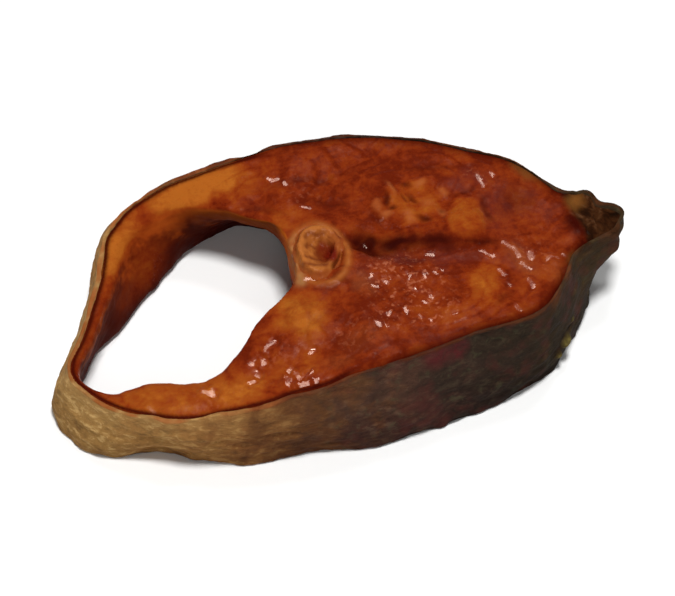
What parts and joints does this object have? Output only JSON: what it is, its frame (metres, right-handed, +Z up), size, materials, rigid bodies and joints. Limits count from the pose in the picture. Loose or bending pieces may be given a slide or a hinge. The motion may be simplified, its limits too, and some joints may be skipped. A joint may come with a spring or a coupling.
{
  "type": "smoked fish steak",
  "caption": "Cross-cut steak of smoked fish: a closed ring of glossy flesh and dark scaly skin round an open belly cavity, with a cut vertebra and the stub of the back fin.",
  "frame": {"origin": "middle of the steak's box, on the surface that it lies on", "axes": "+X from the belly tip to the back fin, +Y across the fish, +Z up along the fish's own length"},
  "size_m": [0.1418, 0.0794, 0.0277],
  "materials": {
    "flesh": "wet red-brown smoked flesh with orange fat, glossy and uneven",
    "skin": "dry dark scaly skin, tan toward the belly",
    "bone": "tan oily bone, dark red-brown in its cup"
  },
  "bodies": {
    "root": {"steak": "flesh", "backbone": "bone"}
  },
  "joints": []
}
